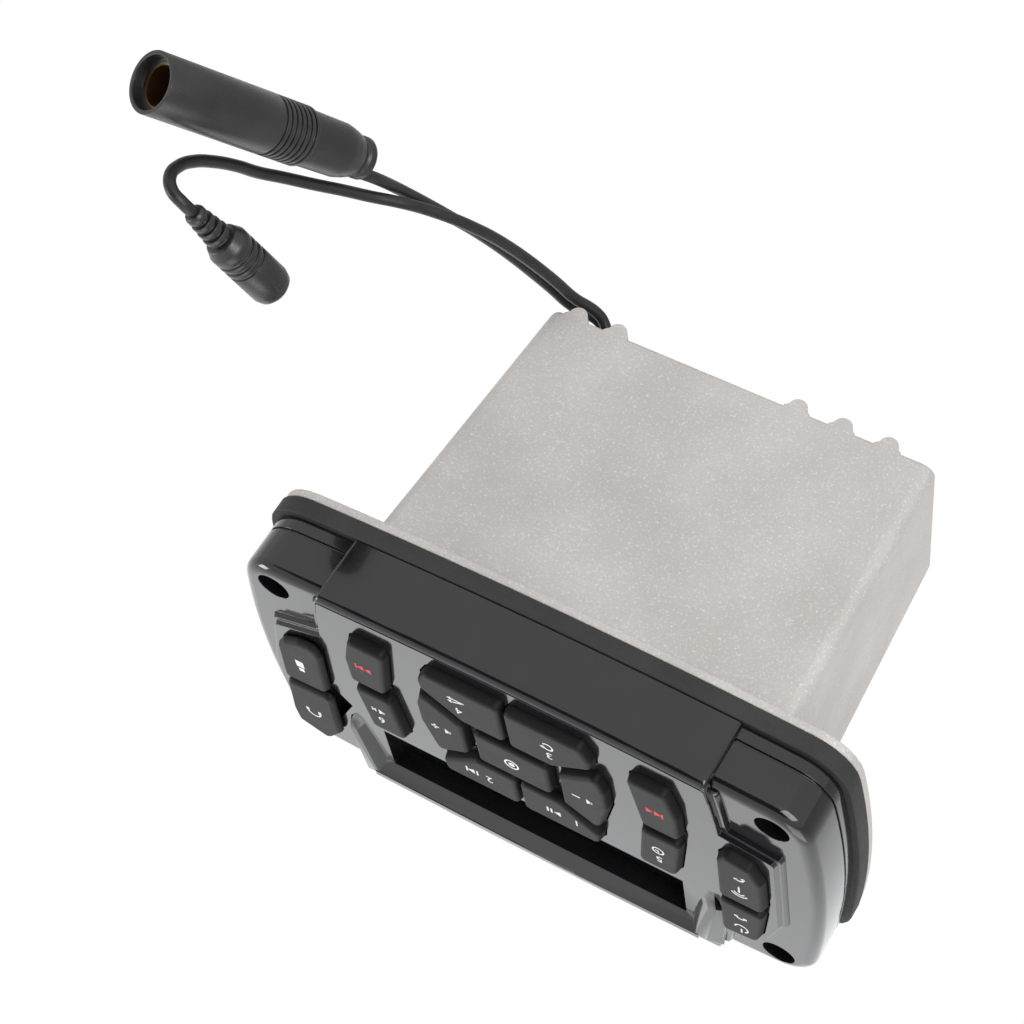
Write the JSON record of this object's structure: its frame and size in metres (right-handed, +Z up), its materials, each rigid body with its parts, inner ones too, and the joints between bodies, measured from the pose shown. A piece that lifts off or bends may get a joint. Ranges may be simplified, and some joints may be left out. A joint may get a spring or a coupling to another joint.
{
  "type": "flush-mount marine stereo",
  "caption": "Flush-mount boat radio with a cast housing, gasketed bezel, display under a visor, press keys, hinged port covers, and an antenna lead and an audio lead at the rear.",
  "frame": {"origin": "centre of the panel screw pattern, on the rear face of the flange that seats on the panel", "axes": "+X to the right of a person facing the front, +Y to the rear into the panel, +Z up as installed"},
  "size_m": [0.2033, 0.1269, 0.2008],
  "materials": {
    "cast_metal": "bead-blasted light grey casting",
    "gasket_rubber": "matte black",
    "gloss_black": "gloss black",
    "pane": "dark clear pane",
    "lcd_glass": "dark liquid crystal panel",
    "white_plastic": "white diffuser",
    "key_rubber": "matte dark grey",
    "tin_plate": "tin plate",
    "black_plastic": "moulded black",
    "board": "green circuit board",
    "steel": "zinc-plated",
    "capacitor_sleeve": "dark sleeve",
    "lead_jacket": "black satin jacket",
    "plug_plastic": "dark grey moulding",
    "contact_brass": "dull brass"
  },
  "bodies": {
    "radio": {"housing": "cast_metal", "gasket": "gasket_rubber", "bezel": "gloss_black", "fascia": "gloss_black", "display_lens": "pane", "lcd_panel": "lcd_glass", "backlight": "white_plastic", "keypad_web": "gasket_rubber", "usb_socket": "tin_plate", "aux_socket": "black_plastic", "port_board": "board", "port_board_screws": "steel", "control_board": "board", "tact_switches": "black_plastic", "control_board_screws": "steel", "wireless_module": "board", "board_header": "black_plastic", "main_board": "board", "main_board_screws": "steel", "amplifier_chip": "black_plastic", "chip_clamp": "steel", "clamp_screws": "steel", "capacitors": "capacitor_sleeve", "tuner_can": "tin_plate", "cable_grommet": "gasket_rubber", "antenna_lead": "lead_jacket", "antenna_boot": "plug_plastic", "antenna_shell": "plug_plastic", "antenna_contact": "contact_brass", "jack_lead": "lead_jacket", "jack_body": "plug_plastic", "jack_contact": "tin_plate"},
    "key_select": {"key_select": "key_rubber"},
    "key_volume_up": {"key_volume_up": "key_rubber"},
    "key_volume_down": {"key_volume_down": "key_rubber"},
    "key_one": {"key_one": "key_rubber"},
    "key_two": {"key_two": "key_rubber"},
    "key_three": {"key_three": "key_rubber"},
    "key_four": {"key_four": "key_rubber"},
    "key_five": {"key_five": "key_rubber"},
    "key_six": {"key_six": "key_rubber"},
    "key_previous": {"key_previous": "key_rubber"},
    "key_next": {"key_next": "key_rubber"},
    "key_band": {"key_band": "key_rubber"},
    "key_power": {"key_power": "key_rubber"},
    "usb_cover": {"usb_cover": "key_rubber"},
    "aux_cover": {"aux_cover": "key_rubber"}
  },
  "joints": [
    {"name": "key_select_press", "type": "slide", "parent": "radio", "child": "key_select", "axis": [0, 1, 0], "range_m": [0, 0.0012], "stiffness_N_per_m": 800},
    {"name": "key_volume_up_press", "type": "slide", "parent": "radio", "child": "key_volume_up", "axis": [0, 1, 0], "range_m": [0, 0.0012], "stiffness_N_per_m": 800},
    {"name": "key_volume_down_press", "type": "slide", "parent": "radio", "child": "key_volume_down", "axis": [0, 1, 0], "range_m": [0, 0.0012], "stiffness_N_per_m": 800},
    {"name": "key_one_press", "type": "slide", "parent": "radio", "child": "key_one", "axis": [0, 1, 0], "range_m": [0, 0.0012], "stiffness_N_per_m": 800},
    {"name": "key_two_press", "type": "slide", "parent": "radio", "child": "key_two", "axis": [0, 1, 0], "range_m": [0, 0.0012], "stiffness_N_per_m": 800},
    {"name": "key_three_press", "type": "slide", "parent": "radio", "child": "key_three", "axis": [0, 1, 0], "range_m": [0, 0.0012], "stiffness_N_per_m": 800},
    {"name": "key_four_press", "type": "slide", "parent": "radio", "child": "key_four", "axis": [0, 1, 0], "range_m": [0, 0.0012], "stiffness_N_per_m": 800},
    {"name": "key_five_press", "type": "slide", "parent": "radio", "child": "key_five", "axis": [0, 1, 0], "range_m": [0, 0.0012], "stiffness_N_per_m": 800},
    {"name": "key_six_press", "type": "slide", "parent": "radio", "child": "key_six", "axis": [0, 1, 0], "range_m": [0, 0.0012], "stiffness_N_per_m": 800},
    {"name": "key_previous_press", "type": "slide", "parent": "radio", "child": "key_previous", "axis": [0, 1, 0], "range_m": [0, 0.0012], "stiffness_N_per_m": 800},
    {"name": "key_next_press", "type": "slide", "parent": "radio", "child": "key_next", "axis": [0, 1, 0], "range_m": [0, 0.0012], "stiffness_N_per_m": 800},
    {"name": "key_band_press", "type": "slide", "parent": "radio", "child": "key_band", "axis": [0, 1, 0], "range_m": [0, 0.0012], "stiffness_N_per_m": 800},
    {"name": "key_power_press", "type": "slide", "parent": "radio", "child": "key_power", "axis": [0, 1, 0], "range_m": [0, 0.0012], "stiffness_N_per_m": 800},
    {"name": "usb_cover_hinge", "type": "hinge", "parent": "radio", "child": "usb_cover", "pos_m": [0.072, -0.0263, -0.0097], "axis": [0, 0, 1], "range_deg": [0, 100]},
    {"name": "aux_cover_hinge", "type": "hinge", "parent": "radio", "child": "aux_cover", "pos_m": [0.0742, -0.0263, 0.018], "axis": [0, 0, 1], "range_deg": [0, 100]}
  ]
}
